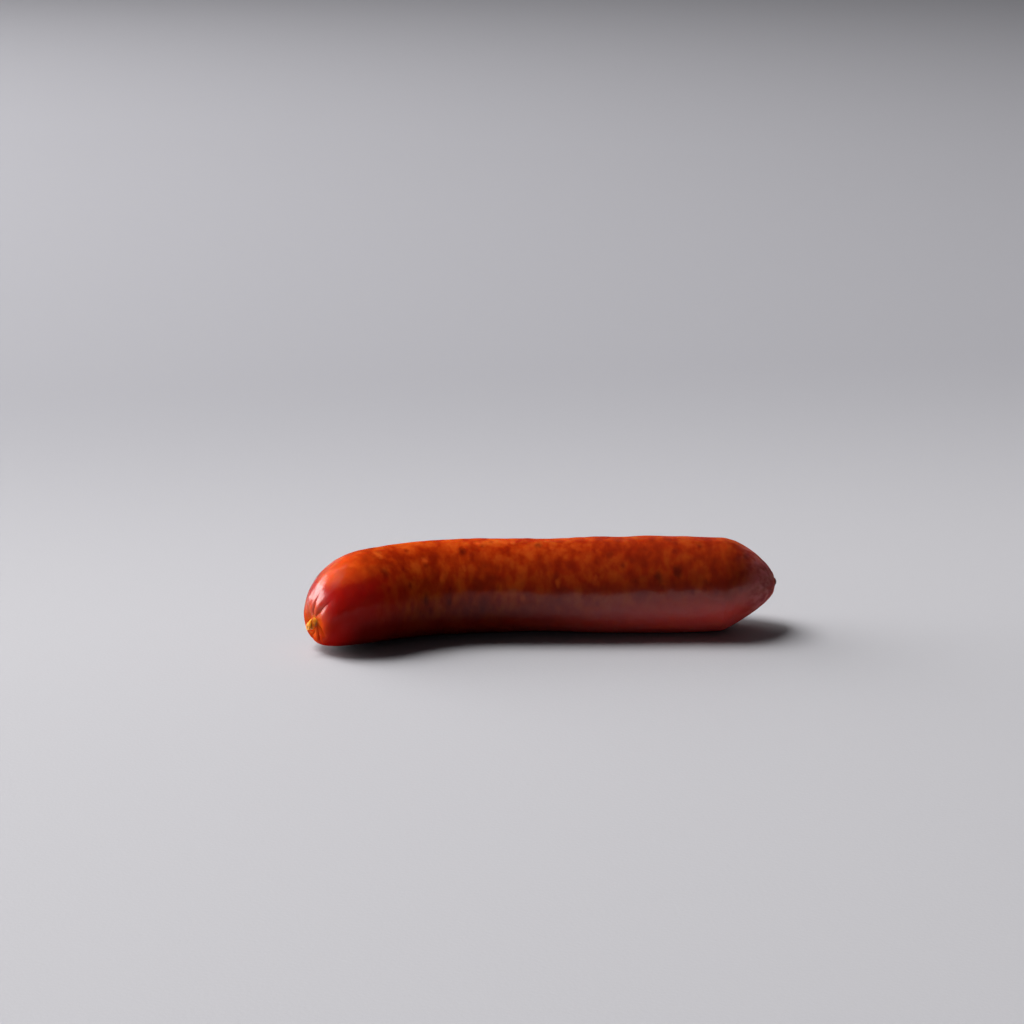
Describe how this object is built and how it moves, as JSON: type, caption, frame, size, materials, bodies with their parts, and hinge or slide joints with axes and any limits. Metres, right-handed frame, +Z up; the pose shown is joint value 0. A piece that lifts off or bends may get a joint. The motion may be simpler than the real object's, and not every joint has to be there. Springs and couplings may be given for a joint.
{
  "type": "pepperoni sausage",
  "caption": "Smoked pepperoni link in a natural casing, gently bowed, twisted shut at a blunt end and a pointed end.",
  "frame": {"origin": "on the surface that the link rests on, under the middle of its bounding box", "axes": "+X along the link from its blunt end to its pointed end, +Y towards the side that the middle bows to, +Z up"},
  "size_m": [0.1582, 0.0428, 0.0314],
  "materials": {
    "smoked_casing": "smoked red-brown meat in a thin, taut, greasy natural casing, darker in the lean and more orange in the fat",
    "dried_casing": "dried, twisted natural casing, amber and slightly see-through",
    "dark_casing": "dried, twisted natural casing, cut short and browned by the smoke"
  },
  "bodies": {
    "root": {"sausage_link": "smoked_casing", "casing_twist_blunt_end": "dried_casing", "casing_twist_pointed_end": "dark_casing"}
  },
  "joints": []
}
